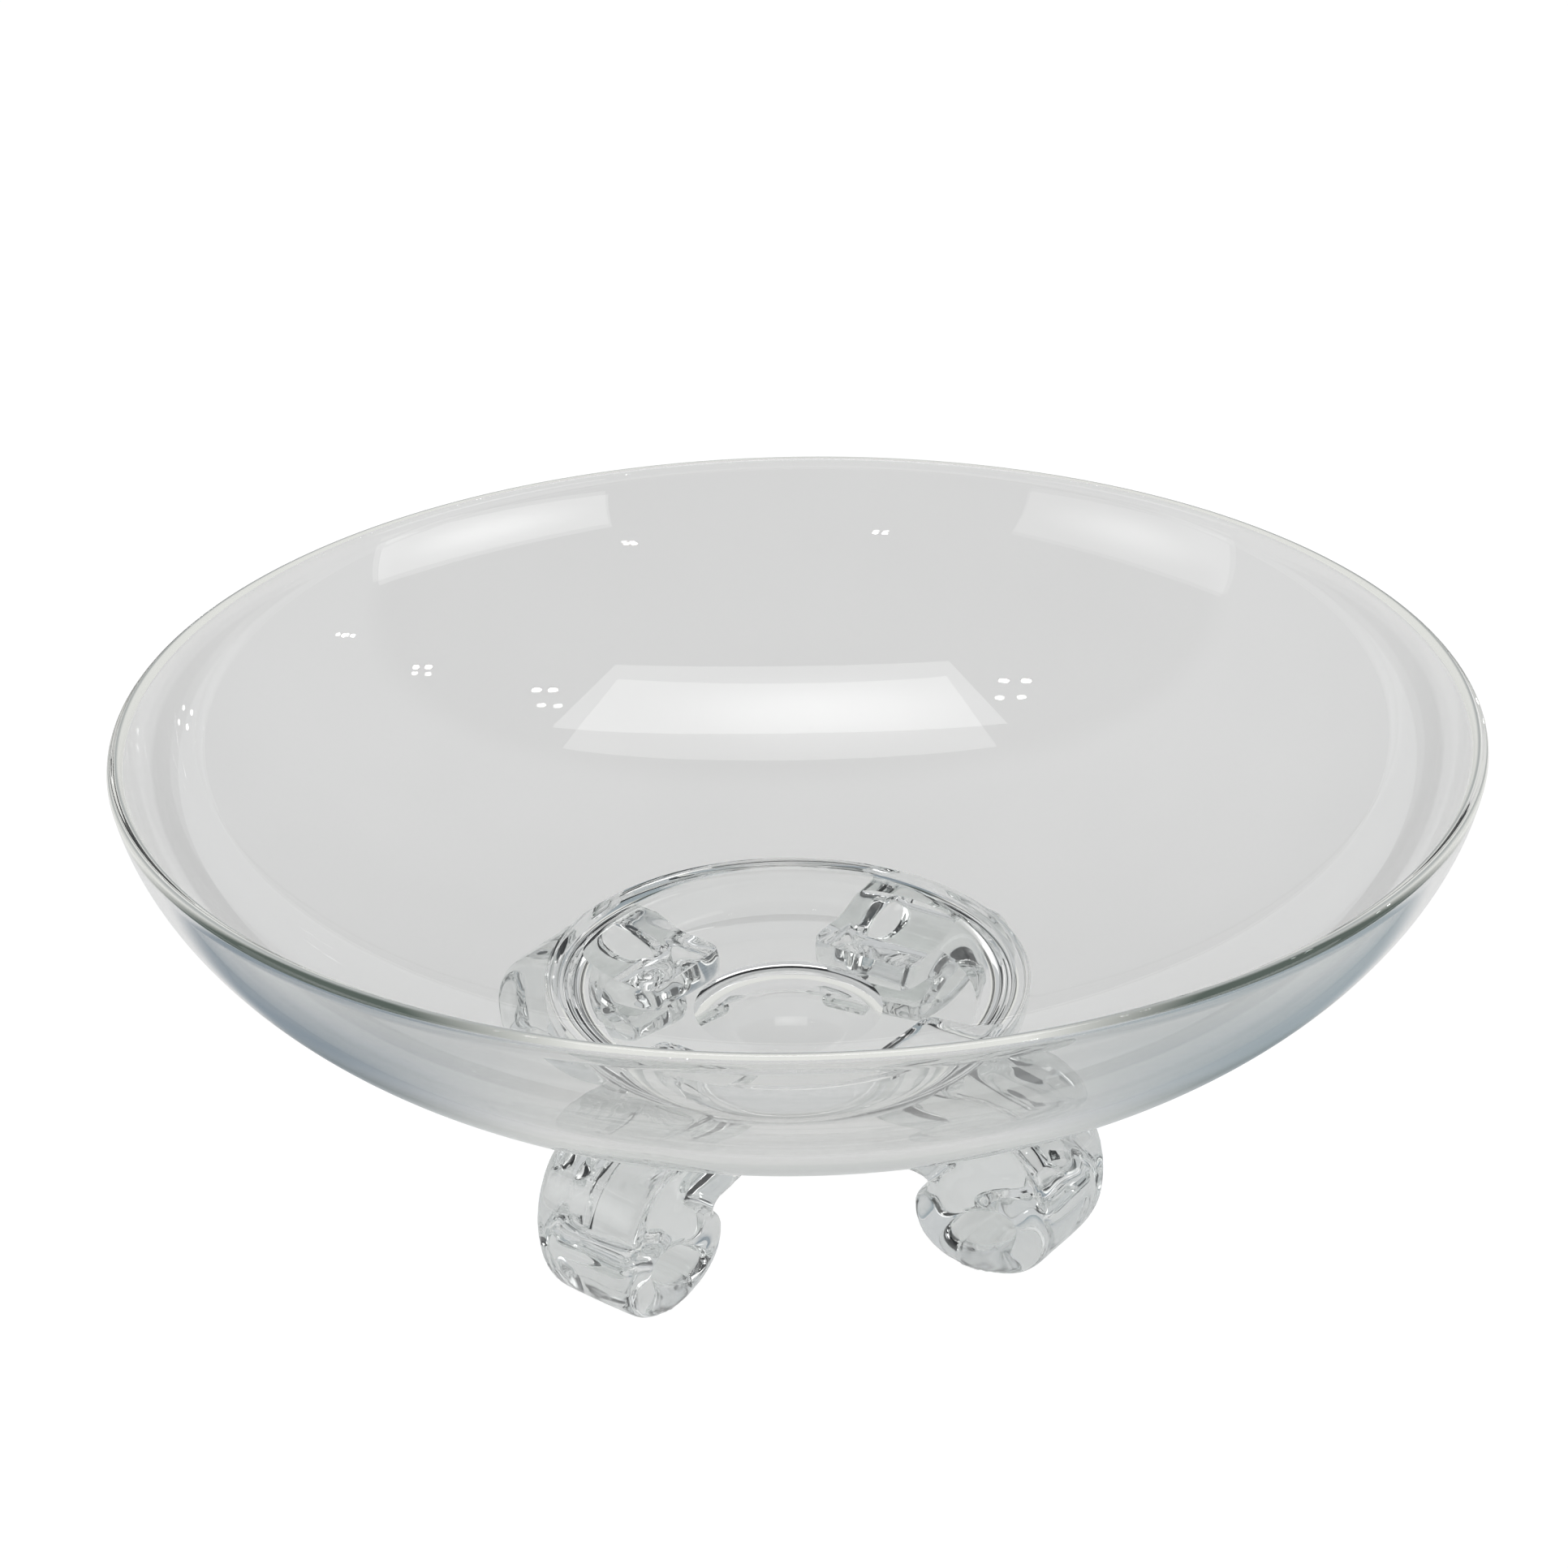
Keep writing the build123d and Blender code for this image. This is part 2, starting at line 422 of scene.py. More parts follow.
# %% Four feet, each a little different
ripple_length = 24 * MM
ripple_height = 1.2 * MM
ripple = bpy.data.textures.new("slow_ripple", "CLOUDS")
ripple.noise_scale = ripple_length
ripple.noise_depth = 1
feet = {}
for place, angle in (("back_right", 45), ("back_left", 135), ("front_left", 225), ("front_right", 315)):
    select_only(foot)
    bpy.ops.object.duplicate()
    copy = bpy.context.object
    copy.name = copy.data.name = "scroll_foot_" + place
    copy.rotation_euler.z = radians(angle)
    bpy.ops.object.transform_apply(location=False, rotation=True, scale=False)
    move_off_axis(copy)
    apply_modifier(copy, "DISPLACE", {"texture": ripple, "texture_coords": "GLOBAL",
                                      "strength": ripple_height, "mid_level": 0.5})
    feet[place] = copy
    say_size(copy)
bpy.data.objects.remove(foot, do_unlink=True)

# %% [markdown]
# A foot wears flat where it stands, so its lowest skin is pressed onto the ground plane.
# A cut would do it too, but pressing keeps the mesh whole and closed.

# %% Flat worn pads
worn_skin = 0.35


def clear_mesh_selection(piece):
    """Deselect every face, edge and point of a piece, and stay in object mode."""
    select_only(piece)
    bpy.ops.object.mode_set(mode="EDIT")
    bpy.ops.mesh.select_all(action="DESELECT")
    bpy.ops.object.mode_set(mode="OBJECT")


def press_flat(piece, below):
    """Press everything lower than a height onto the ground."""
    clear_mesh_selection(piece)
    for point in piece.data.vertices:
        point.select = point.co.z < below * MM
    bpy.ops.object.mode_set(mode="EDIT")
    bpy.ops.transform.resize(value=(1, 1, 0), center_override=(0, 0, 0))
    bpy.ops.object.mode_set(mode="OBJECT")


for piece in feet.values():
    lowest = min(point.co.z for point in piece.data.vertices) / MM
    press_flat(piece, max(lowest, 0) + worn_skin)
    print(piece.name, "stood", round(lowest, 2), "mm from the ground before it was pressed flat")

# %% [markdown]
# Materials. Lead crystal is nearly colourless and bends light more than window glass: about 1.545.
# Blown and tooled glass was never touched by a mould, so its skin is mirror smooth but slightly wavy.
# The waviness is a faint bump that is some tens of millimetres long. Where two gathers are fused there
# is no skin at all, so that face is made fully see-through.

# %% Helpers for materials
def linear(code):
    """Turn an sRGB hex colour into the linear colour that a shader wants."""
    values = [int(code[place:place + 2], 16) / 255 for place in (1, 3, 5)]
    light = [value / 12.92 if value <= 0.04045 else ((value + 0.055) / 1.055) ** 2.4 for value in values]
    return light + [1.0]


def add_node(tree, kind, settings=None, links=None):
    """Add a node, set its options and sockets, and link other nodes' outputs to it."""
    node = tree.nodes.new(kind)
    for key, value in (settings or {}).items():
        if isinstance(key, int) or key in node.inputs:
            node.inputs[key].default_value = value
        else:
            setattr(node, key, value)
    for key, output in (links or {}).items():
        tree.links.new(output, node.inputs[key])
    return node


def empty_material(name):
    """A material with no nodes yet."""
    material = bpy.data.materials.new(name)
    material.use_nodes = True
    material.node_tree.nodes.clear()
    return material


# %% [markdown]
# Light that gets in between the two skins at the lip is mirrored on and on, and never finds its way out
# within the number of bounces that a render has. Left alone it would draw a black line round the rim.
# So light that was mirrored very often is given a painted glow in the colour that the real lip has there.

# %% Clear lead crystal
crystal_ior = 1.545
streak_length = 45 * MM
scuff_height = 0.4 * MM
scuff_roughness = 0.35
speck_width = 0.6 * MM
# Distances in millimetres between which the painted glow turns to painted shade: sideways from the middle,
# and forwards.
# The last pair is the height at which the painted glow starts to turn to painted grey, and the height at
# which it is all grey.
flank_painted_shade = (45, 80)
front_painted_shade = (25, 60)
under_painted_grey = (80, 66)


def lead_crystal(name, pale, deep, wave_length, wave_height, seed_place, mirrorings, painted_glow, painted_shade):
    """Clear crystal: a wavy skin, a trace of colour that varies, worn spots where it stands, and a painted
    glow.
    """
    material = empty_material(name)
    tree = material.node_tree
    place = add_node(tree, "ShaderNodeTexCoord")
    moved = add_node(tree, "ShaderNodeMapping", {"Location": seed_place}, {"Vector": place.outputs["Object"]})
    wave = add_node(tree, "ShaderNodeTexNoise",
                    {"Scale": 1 / (wave_length * MM), "Detail": 1.0, "Roughness": 0.4},
                    {"Vector": moved.outputs["Vector"]})
    bump = add_node(tree, "ShaderNodeBump", {"Strength": 1.0, "Distance": wave_height * MM},
                    {"Height": wave.outputs["Fac"]})
    streak = add_node(tree, "ShaderNodeTexNoise", {"Scale": 1 / streak_length, "Detail": 2.0},
                      {"Vector": moved.outputs["Vector"]})
    colour = add_node(tree, "ShaderNodeMix", {"data_type": "RGBA", 6: linear(pale), 7: linear(deep)},
                      {"Factor": streak.outputs["Fac"]})
    # Table tops scuff the lowest skin, in fine specks.
    heights = add_node(tree, "ShaderNodeSeparateXYZ", None, {"Vector": place.outputs["Object"]})
    low = add_node(tree, "ShaderNodeMapRange",
                   {"From Min": scuff_height, "From Max": 0.0, "To Min": 0.0, "To Max": scuff_roughness},
                   {"Value": heights.outputs["Z"]})
    speck = add_node(tree, "ShaderNodeTexNoise", {"Scale": 1 / speck_width, "Detail": 2.0},
                     {"Vector": place.outputs["Object"]})
    scuff = add_node(tree, "ShaderNodeMath", {"operation": "MULTIPLY"},
                     {0: low.outputs["Result"], 1: speck.outputs["Fac"]})
    glass = add_node(tree, "ShaderNodeBsdfPrincipled", {"Transmission Weight": 1.0, "IOR": crystal_ior},
                     {"Base Color": colour.outputs[2], "Roughness": scuff.outputs["Value"],
                      "Normal": bump.outputs["Normal"]})
    # A shadow ray goes through with a small loss, so lamps light the floor through the glass.
    clear = add_node(tree, "ShaderNodeBsdfTransparent", {"Color": linear("#F3F5F4")})
    rays = add_node(tree, "ShaderNodeLightPath")
    mixed = add_node(tree, "ShaderNodeMixShader", None,
                     {0: rays.outputs["Is Shadow Ray"], 1: glass.outputs["BSDF"], 2: clear.outputs["BSDF"]})
    # The painted glow of caught light is pale, with painted shade where the wall turns away in front, at both
    # sides of the middle, and a painted grey under the bowl. Its places are set from the camera's direction.
    caught = add_node(tree, "ShaderNodeMath", {"operation": "GREATER_THAN", 1: mirrorings},
                      {0: rays.outputs["Ray Depth"]})
    sideways = add_node(tree, "ShaderNodeVectorMath",
                        {"operation": "DOT_PRODUCT", 1: view_turn @ Vector((1, 0, 0))},
                        {0: place.outputs["Object"]})
    off_middle = add_node(tree, "ShaderNodeMath", {"operation": "ABSOLUTE"}, {0: sideways.outputs["Value"]})
    in_front = add_node(tree, "ShaderNodeVectorMath",
                        {"operation": "DOT_PRODUCT", 1: view_turn @ Vector((0, -1, 0))},
                        {0: place.outputs["Object"]})
    flank = add_node(tree, "ShaderNodeMapRange",
                     {"From Min": flank_painted_shade[0] * MM, "From Max": flank_painted_shade[1] * MM},
                     {"Value": off_middle.outputs["Value"]})
    nearby = add_node(tree, "ShaderNodeMapRange",
                      {"From Min": front_painted_shade[0] * MM, "From Max": front_painted_shade[1] * MM},
                      {"Value": in_front.outputs["Value"]})
    painted_shade_share = add_node(tree, "ShaderNodeMath", {"operation": "MULTIPLY"},
                      {0: flank.outputs["Result"], 1: nearby.outputs["Result"]})
    inside = add_node(tree, "ShaderNodeMix", {"data_type": "RGBA", 6: linear(painted_glow), 7: linear(painted_shade)},
                      {"Factor": painted_shade_share.outputs["Value"]})
    under = add_node(tree, "ShaderNodeMapRange",
                     {"From Min": under_painted_grey[0] * MM, "From Max": under_painted_grey[1] * MM},
                     {"Value": heights.outputs["Z"]})
    lower = add_node(tree, "ShaderNodeMix", {"data_type": "RGBA", 7: linear("#B4B8B7")},
                     {"Factor": under.outputs["Result"], 6: inside.outputs[2]})
    # An emission stands in for the caught light here: a painted glow, though the crystal is no lamp.
    painted_caught_glow = add_node(tree, "ShaderNodeEmission", {"Strength": 1.0}, {"Color": lower.outputs[2]})
    skin = add_node(tree, "ShaderNodeMixShader", None,
                    {0: caught.outputs["Value"], 1: mixed.outputs["Shader"],
                     2: painted_caught_glow.outputs["Emission"]})
    add_node(tree, "ShaderNodeOutputMaterial", None, {"Surface": skin.outputs["Shader"]})
    return material


# %% The three crystals and the fused joint
# The last two colours of each crystal are its painted glow and its painted shade, for light caught in the
# glass.
# Blown crystal never met a tool, so its waves are long and faint and mirrored lamps keep their shape.
blown_crystal = lead_crystal(
    "blown_lead_crystal", pale="#FCFCFB", deep="#F7F7F6", wave_length=38, wave_height=0.03,
    seed_place=(0, 0, 0), mirrorings=10.0, painted_glow="#E8E9E5", painted_shade="#59635D")
# Pressed crystal is thick and smooth, and looks a trace greyer for its thickness.
pressed_crystal = lead_crystal(
    "pressed_lead_crystal", pale="#FAFBFA", deep="#F4F5F4", wave_length=30, wave_height=0.03,
    seed_place=(0.4, 0.1, 0), mirrorings=40.0, painted_glow="#A2A8A6", painted_shade="#8A908F")
# Hand tooled crystal has shorter and deeper waves, which break what it mirrors into short lines.
tooled_crystal = lead_crystal(
    "tooled_lead_crystal", pale="#F4F6F5", deep="#ECEEED", wave_length=11, wave_height=0.15,
    seed_place=(0.2, 0.7, 0), mirrorings=40.0, painted_glow="#8A908F", painted_shade="#6E7473")
# The fused joint is glass against glass, so it is not seen at all.
fused_joint = empty_material("fused_crystal_joint")
see_through = add_node(fused_joint.node_tree, "ShaderNodeBsdfTransparent", {"Color": (1, 1, 1, 1)})
add_node(fused_joint.node_tree, "ShaderNodeOutputMaterial", None, {"Surface": see_through.outputs["BSDF"]})
print("materials:", blown_crystal.name, pressed_crystal.name, tooled_crystal.name, fused_joint.name)

# %% [markdown]
# Each piece takes two slots: its own crystal, and the fused joint.
# Where two gathers are fused, one is cut with the other, so they meet face to face, and the other gets
# the outline of the first cut into its skin. The patch inside that outline becomes part of the joint.
# Two pieces that only pass through each other would be easier, but light would bend at skins that the
# real, melted glass no longer has.

# %% Two slots for each piece
for piece, crystal in [(bowl, blown_crystal), (disc, pressed_crystal)] + [
        (piece, tooled_crystal) for piece in feet.values()]:
    piece.data.materials.clear()
    piece.data.materials.append(crystal)
    piece.data.materials.append(fused_joint)
    print(piece.name, "slots:", [material.name for material in piece.data.materials])


# %% Helpers for a fused joint
def copy_of(piece, name):
    """A copy of a piece with its own mesh."""
    twin = piece.copy()
    twin.data = piece.data.copy()
    twin.name = twin.data.name = name
    bpy.context.scene.collection.objects.link(twin)
    return twin


def give_one_material(piece, material):
    """Give every face of a piece the same material."""
    piece.data.materials.clear()
    piece.data.materials.append(material)
    piece.data.polygons.foreach_set("material_index", [0] * len(piece.data.polygons))


def is_inside(tree, point):
    """Whether a point lies inside a closed mesh, from the side of the nearest face that it is on."""
    nearest, normal, _, _ = tree.find_nearest(point)
    return (point - nearest).dot(normal) < 0


def select_slot(piece, slot):
    """Go into edit mode with only the faces of one material slot selected."""
    clear_mesh_selection(piece)
    for face in piece.data.polygons:
        face.select = face.material_index == slot
    bpy.ops.object.mode_set(mode="EDIT")


def stamp_joint(piece, stamp):
    """Cut the outline of the stamp into a piece's skin, and make the patch inside it part of the joint."""
    tree = BVHTree.FromPolygons([point.co for point in stamp.data.vertices],
                                [face.vertices for face in stamp.data.polygons])
    marker = empty_material("marker")
    piece.data.materials.append(marker)
    give_one_material(stamp, marker)
    select_only(piece)
    stamp.select_set(True)
    bpy.ops.object.join()
    select_slot(piece, 2)
    bpy.ops.mesh.intersect(mode="SELECT_UNSELECT", separate_mode="CUT", solver="EXACT")
    select_slot(piece, 2)
    bpy.ops.mesh.delete(type="FACE")
    bpy.ops.mesh.select_all(action="SELECT")
    bpy.ops.mesh.remove_doubles(threshold=seam_gap)
    bpy.ops.object.mode_set(mode="OBJECT")
    piece.data.materials.pop(index=2)
    bpy.data.materials.remove(marker)
    crystal_faces = [face for face in piece.data.polygons if face.material_index == 0]
    patch = [face for face in crystal_faces if is_inside(tree, face.center)]
    for face in patch:
        face.material_index = 1
    print(piece.name, "has a fused patch of", len(patch), "faces")


def cut_with(piece, cutter):
    """Cut a piece with another one. The new faces become part of the joint."""
    give_one_material(cutter, fused_joint)
    apply_modifier(piece, "BOOLEAN", {"operation": "DIFFERENCE", "solver": "EXACT", "object": cutter,
                                      "material_mode": "TRANSFER"})
    fused = sum(face.material_index for face in piece.data.polygons)
    print(piece.name, "has", fused, "fused faces and", len(piece.data.materials), "slots")


def sharpen_joint(piece):
    """Keep the shading of the visible skin and of the joint apart, at the line where they meet."""
    select_slot(piece, 1)
    bpy.ops.mesh.region_to_loop()
    bpy.ops.mesh.mark_sharp()
    deselect_all()


# %% Fuse the disc to the bowl
disc_stamp = copy_of(disc, "disc_stamp")
disc_cutter = copy_of(disc, "disc_cutter")
outside = draw_outline("bowl_cutter", outer_fall + [Vector((0, outer_fall[0].y))])
spin_outline(turn_steps)
bpy.ops.object.shade_smooth()
cut_with(disc, outside)
bpy.data.objects.remove(outside, do_unlink=True)
stamp_joint(bowl, disc_stamp)

# %% Fuse the feet to the disc
for piece in feet.values():
    foot_stamp = copy_of(piece, "foot_stamp")
    cut_with(piece, disc_cutter)
    stamp_joint(disc, foot_stamp)
bpy.data.objects.remove(disc_cutter, do_unlink=True)
for piece in [bowl, disc] + list(feet.values()):
    sharpen_joint(piece)

# %% [markdown]
# Every piece stands for its solid in the construction model, and all of them move as one body.

# %% Tie the pieces to the frame
for piece, node, slot in [(bowl, "bowl", "bowl_crystal"), (disc, "base_disc", "disc_crystal")] + [
        (piece, "foot_" + place, "foot_crystal") for place, piece in feet.items()]:
    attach(piece, "root")
    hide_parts(node)
    say_size(piece)

# %% [markdown]
# The stage is a plain pale floor that goes on to the horizon. Part of its light is its own and is only
# seen by the camera, by mirrors and through glass, so it stays pale without more light on the bowl.
# The rest is a plain matt surface, which keeps the bowl's shadow.

# %% Floor
floor_radius = 6
floor_drop = 0.2 * MM
# How strongly the paper glows to the camera, and in mirrors and glass.
camera_glow = 0.92
glass_glow = 0.555
# In front of the bowl that second glow is a little weaker, as a painted shade near the bowl.
glow_share_in_painted_shade = 0.86

deselect_all()
bpy.ops.mesh.primitive_circle_add(vertices=96, radius=floor_radius, fill_type="NGON",
                                  location=(0, 0, -floor_drop))
floor = bpy.context.object
floor.name = "studio_floor"
bpy.ops.object.transform_apply(location=True, rotation=False, scale=False)
# Matt paper has no shine: it takes a soft shadow and mirrors nothing.
paper = empty_material("matt_paper_floor")
tree = paper.node_tree
rays = add_node(tree, "ShaderNodeLightPath")
in_glass = add_node(tree, "ShaderNodeMath", {"operation": "MAXIMUM"},
                    {0: rays.outputs["Is Glossy Ray"], 1: rays.outputs["Is Transmission Ray"]})
paint = add_node(tree, "ShaderNodeMix", {"data_type": "RGBA", 6: linear("#7A7A7A"), 7: linear("#989898")},
                 {"Factor": in_glass.outputs["Value"]})
matt = add_node(tree, "ShaderNodeBsdfDiffuse", None, {"Color": paint.outputs[2]})
place = add_node(tree, "ShaderNodeTexCoord")
behind = add_node(tree, "ShaderNodeVectorMath",
                  {"operation": "DOT_PRODUCT", 1: view_turn @ Vector((0, 1, 0))},
                  {0: place.outputs["Object"]})
# Mirrors and glass see the paper end half a metre behind the bowl, where the room starts.
paper_end = add_node(tree, "ShaderNodeMapRange",
                     {"interpolation_type": "SMOOTHSTEP", "From Min": 470 * MM, "From Max": 560 * MM,
                      "To Min": glass_glow, "To Max": 0.0},
                     {"Value": behind.outputs["Value"]})
# Painted shade: in front of the bowl, mirrors and glass see the paper's glow a little darker.
painted_shade_in_front = add_node(tree, "ShaderNodeMapRange",
                       {"interpolation_type": "SMOOTHSTEP", "From Min": -60 * MM, "From Max": 50 * MM,
                        "To Min": glow_share_in_painted_shade, "To Max": 1.0},
                       {"Value": behind.outputs["Value"]})
paper_light = add_node(tree, "ShaderNodeMath", {"operation": "MULTIPLY"},
                       {0: painted_shade_in_front.outputs["Result"], 1: paper_end.outputs["Result"]})
through = add_node(tree, "ShaderNodeMath", {"operation": "MULTIPLY"},
                   {0: in_glass.outputs["Value"], 1: paper_light.outputs["Value"]})
amount = add_node(tree, "ShaderNodeMath", {"operation": "MULTIPLY_ADD", 1: camera_glow},
                  {0: rays.outputs["Is Camera Ray"], 2: through.outputs["Value"]})
own_light = add_node(tree, "ShaderNodeEmission", {"Color": linear("#FFFFFF")},
                     {"Strength": amount.outputs["Value"]})
both = add_node(tree, "ShaderNodeAddShader", None,
                {0: matt.outputs["BSDF"], 1: own_light.outputs["Emission"]})
add_node(tree, "ShaderNodeOutputMaterial", None, {"Surface": both.outputs["Shader"]})
floor.data.materials.append(paper)
print("floor:", 2 * floor_radius, "m across")

# %% [markdown]
# The room round the floor is white to the camera. Mirrors see it grey, so that the lamps' images stand
# out in the bowl, and through glass it is pale, with a dark side in front that draws the lines inside
# the feet. Light Path tells these rays apart, so the room's light on the bowl stays plain and soft.

# %% World
world_strength = 0.62
mirrored_room = "#707274"
room_in_glass = "#D2D4D6"
dark_side_in_glass = "#121417"
toward_dark_side = view_turn @ Vector((0, -0.8, 0.6))
dark_side_starts = 0.22
dark_side_full = 0.34

world = bpy.data.worlds.new("pale_studio")
bpy.context.scene.world = world
world.use_nodes = True
tree = world.node_tree
tree.nodes.clear()
rays = add_node(tree, "ShaderNodeLightPath")
way = add_node(tree, "ShaderNodeTexCoord")
front = add_node(tree, "ShaderNodeVectorMath", {"operation": "DOT_PRODUCT", 1: toward_dark_side},
                 {0: way.outputs["Generated"]})
darkening = add_node(tree, "ShaderNodeMapRange",
                     {"interpolation_type": "SMOOTHSTEP", "From Min": dark_side_starts,
                      "From Max": dark_side_full},
                     {"Value": front.outputs["Value"]})
in_glass = add_node(tree, "ShaderNodeMix",
                    {"data_type": "RGBA", 6: linear(room_in_glass), 7: linear(dark_side_in_glass)},
                    {"Factor": darkening.outputs["Result"]})
room = add_node(tree, "ShaderNodeMix", {"data_type": "RGBA", 6: linear(mirrored_room)},
                {"Factor": rays.outputs["Is Transmission Ray"], 7: in_glass.outputs[2]})
backdrop = add_node(tree, "ShaderNodeMix", {"data_type": "RGBA", 7: (1, 1, 1, 1)},
                    {"Factor": rays.outputs["Is Camera Ray"], 6: room.outputs[2]})
seen_or_mirrored = add_node(tree, "ShaderNodeMath", {"operation": "MAXIMUM"},
                            {0: rays.outputs["Is Camera Ray"], 1: rays.outputs["Is Glossy Ray"]})
seen = add_node(tree, "ShaderNodeMath", {"operation": "MAXIMUM"},
                {0: seen_or_mirrored.outputs["Value"], 1: rays.outputs["Is Transmission Ray"]})
shown = add_node(tree, "ShaderNodeBackground", {"Strength": 1.0}, {"Color": backdrop.outputs[2]})
lit = add_node(tree, "ShaderNodeBackground", {"Color": linear("#E2E3E5"), "Strength": world_strength})
sky = add_node(tree, "ShaderNodeMixShader", None,
               {0: seen.outputs["Value"], 1: lit.outputs["Background"], 2: shown.outputs["Background"]})
add_node(tree, "ShaderNodeOutputWorld", None, {"Surface": sky.outputs["Shader"]})
print("world:", world.name, "with strength", world_strength)

# %% [markdown]
# Glass on a white ground loses its edges, and the bowl's shadow lies darker on the floor at each side of it.
# Here a glowing blue-grey sheet of painted shadow lies at each side of the bowl and fades out softly on the
# floor.
# The camera does not see the sheets: they only show where the glass bends and mirrors them.

# %% Sheets that only the glass sees
# Both sheets lie just over the floor and end here, in metres from the bowl's axis, away from the camera.
sheet_front = -0.48
sheet_back = 0.07
sheet_lift = 0.001
end_fades = [((0, -1, 0), -70, -10), ((0, -1, 0), 480, 320)]


def lay_painted_shadow(name, left, right, colour, fades):
    """A glowing sheet of painted shadow between two distances in metres, to the right as the camera sees it.

    Each fade is (direction, clear, solid): the painted shadow comes in softly between those distances, in
    millimetres.
    """
    deselect_all()
    bpy.ops.mesh.primitive_plane_add(size=1)
    piece = bpy.context.object
    piece.name = piece.data.name = name
    corners = [(left, sheet_front), (right, sheet_front), (left, sheet_back), (right, sheet_back)]
    for point, (across, away) in zip(piece.data.vertices, corners):
        point.co = view_turn @ Vector((across, away, sheet_lift))
    material = empty_material(name + "_paper")
    tree = material.node_tree
    emission = add_node(tree, "ShaderNodeEmission", {"Color": linear(colour), "Strength": 1.0})
    surface = emission.outputs["Emission"]
    place = add_node(tree, "ShaderNodeTexCoord")
    clear = add_node(tree, "ShaderNodeBsdfTransparent")
    for direction, clear_at, solid_at in fades:
        along = add_node(tree, "ShaderNodeVectorMath",
                         {"operation": "DOT_PRODUCT", 1: view_turn @ Vector(direction)},
                         {0: place.outputs["Object"]})
        solid = add_node(tree, "ShaderNodeMapRange",
                         {"interpolation_type": "SMOOTHSTEP", "From Min": clear_at * MM,
                          "From Max": solid_at * MM},
                         {"Value": along.outputs["Value"]})
        fading = add_node(tree, "ShaderNodeMixShader", None,
                          {0: solid.outputs["Result"], 1: clear.outputs["BSDF"], 2: surface})
        surface = fading.outputs["Shader"]
    add_node(tree, "ShaderNodeOutputMaterial", None, {"Surface": surface})
    piece.data.materials.append(material)
    piece.visible_camera = False
    piece.visible_shadow = False
    piece.visible_diffuse = False
    print(name, "from", left, "to", right, "m")


# Each sheet is a painted shadow in blue-grey, where the bowl's shadow falls on the floor at that side.
lay_painted_shadow("painted_shadow_left", -0.7, -0.06, "#8A959E", [((-1, 0, 0), 60, 150)] + end_fades)
lay_painted_shadow("painted_shadow_right", 0.04, 0.7, "#9EA9AF", [((1, 0, 0), 40, 140)] + end_fades)

# %% [markdown]
# Three softboxes and a few small lamps light the bowl. Their mirrored images in the hollow of the bowl
# are pale panes and pairs of bright dots, and these tell the eye how the wall curves.

# %% Softboxes and small lamps
bowl_middle = Vector((0, 0, 90)) * MM
bulb_distance = 1.2
bulb_width = 0.022
bulb_brightness = 70


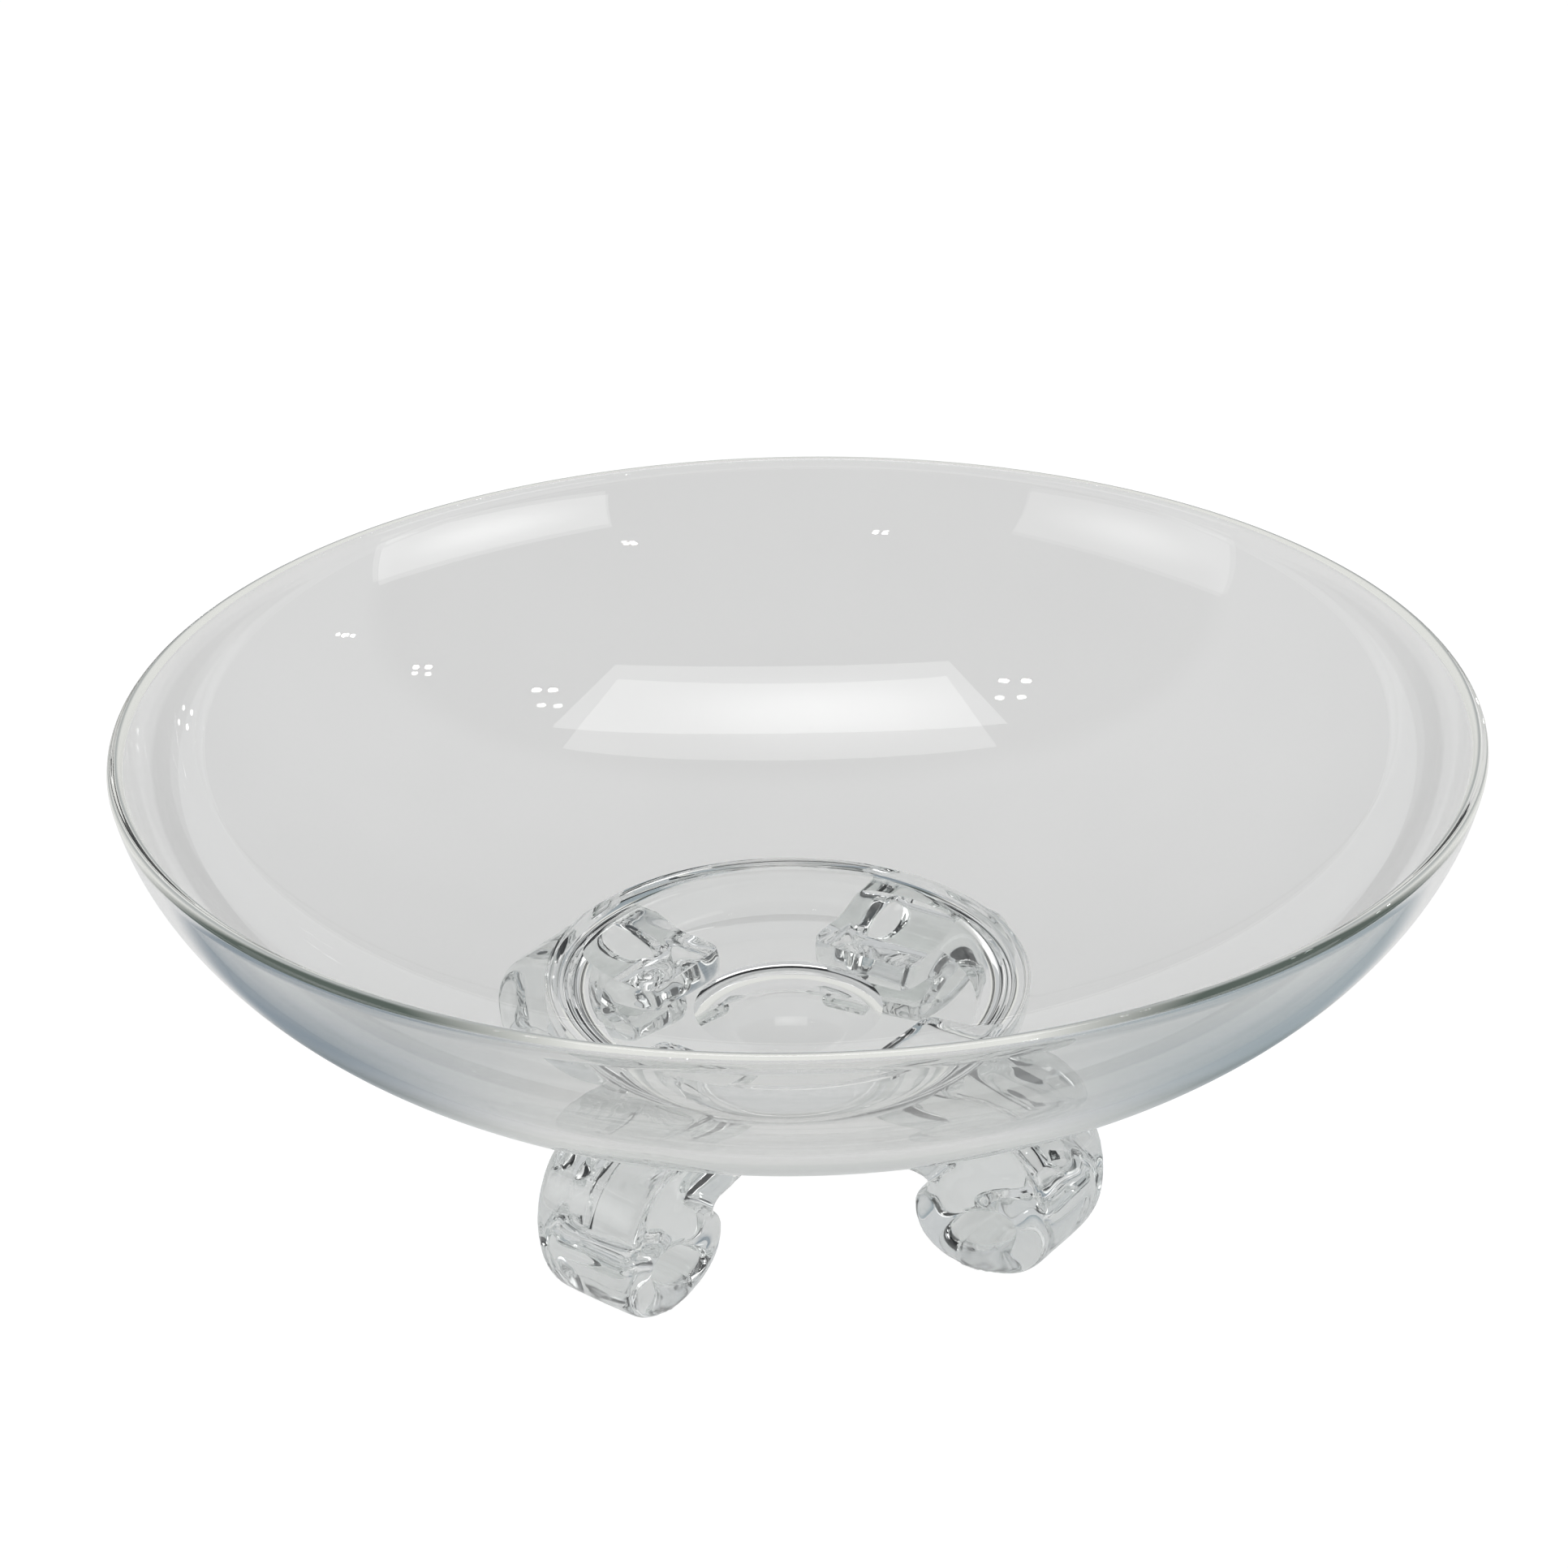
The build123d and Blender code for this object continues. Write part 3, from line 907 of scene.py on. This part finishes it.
def softbox(name, direction, distance, width, height, tilt, middle, edge, brightest=(0.5, 0.5),
            shape="RECTANGLE"):
    """An area lamp that faces the bowl, sized in metres, with the brightness that its own face shows.

    The face is as bright as middle at its brightest place, and fades to edge at half its size away.
    """
    lamp_data = bpy.data.lights.new(name, "AREA")
    lamp_data.shape = shape
    lamp_data.size = width
    lamp_data.size_y = height
    area = width * height if shape == "RECTANGLE" else pi * width * width / 4
    # With this energy, the strength in the lamp's nodes is the brightness of its face.
    lamp_data.energy = pi * area
    lamp_data.use_nodes = True
    tree = lamp_data.node_tree
    tree.nodes.clear()
    face = add_node(tree, "ShaderNodeNewGeometry")
    away = add_node(tree, "ShaderNodeVectorMath", {"operation": "DISTANCE", 1: (*brightest, 0)},
                    {0: face.outputs["Parametric"]})
    fall = add_node(tree, "ShaderNodeMapRange",
                    {"interpolation_type": "SMOOTHSTEP", "From Min": 0.0, "From Max": 0.5,
                     "To Min": middle, "To Max": edge},
                    {"Value": away.outputs["Value"]})
    light = add_node(tree, "ShaderNodeEmission", {"Color": linear("#FFFFFF")},
                     {"Strength": fall.outputs["Result"]})
    add_node(tree, "ShaderNodeOutputLight", None, {"Surface": light.outputs["Emission"]})
    lamp = bpy.data.objects.new(name, lamp_data)
    bpy.context.scene.collection.objects.link(lamp)
    heading = (view_turn @ Vector(direction)).normalized()
    lamp.location = bowl_middle + heading * distance
    facing = Matrix.Rotation(radians(tilt), 3, heading) @ heading.to_track_quat("Z", "Y").to_matrix()
    lamp.rotation_euler = facing.to_euler()


softbox("softbox_above", (0.025, 0.22, 0.93), distance=1.0, width=0.58, height=0.31, tilt=6,
        middle=3.2, edge=1.7, brightest=(0.6, 0.45))
softbox("softbox_right", (0.97, -0.55, 0.29), distance=1.2, width=1.05, height=0.44, tilt=-12,
        middle=2.7, edge=1.3)
softbox("softbox_left", (-1.05, -0.42, 0.34), distance=1.2, width=0.95, height=0.58, tilt=8,
        middle=1.8, edge=0.7)
# Each small lamp is a pair of bulbs: the middle of the pair, and the way from there to one bulb.
pairs = [((0.460, -0.635, 0.620), (-0.011, -0.003, 0.005)),
         ((-0.252, -0.719, 0.647), (-0.014, 0.003, -0.002)),
         ((0.872, 0.181, 0.456), (-0.006, -0.010, 0.015)),
         ((0.661, 0.182, 0.728), (-0.012, -0.007, 0.012)),
         ((0.385, 0.198, 0.901), (-0.014, -0.003, 0.006)),
         ((-0.334, 0.184, 0.925), (-0.018, 0.005, -0.007)),
         ((0.61, 0.80, 0.02), (-0.022, 0.017, 0.0))]
for index, (middle, half_gap) in enumerate(pairs):
    for side in (-1, 1):
        direction = Vector(middle) + Vector(half_gap) * side
        softbox(f"bulb_{index}_{side + 1}", direction, distance=bulb_distance, width=bulb_width,
                height=bulb_width, tilt=0, middle=bulb_brightness, edge=bulb_brightness, shape="DISK")

# %% [markdown]
# Standard shows a colour as it is written. Light crosses a glass skin many times in a foot or in the lip,
# and each crossing is a bounce, so the number of bounces is far larger than a solid object needs.

# %% View settings
glass_bounces = 48
bpy.context.scene.view_settings.view_transform = "Standard"
bpy.context.scene.cycles.max_bounces = glass_bounces
bpy.context.scene.cycles.transmission_bounces = glass_bounces
bpy.context.scene.cycles.glossy_bounces = glass_bounces
bpy.context.scene.cycles.transparent_max_bounces = 32
print("bounces in glass:", glass_bounces)
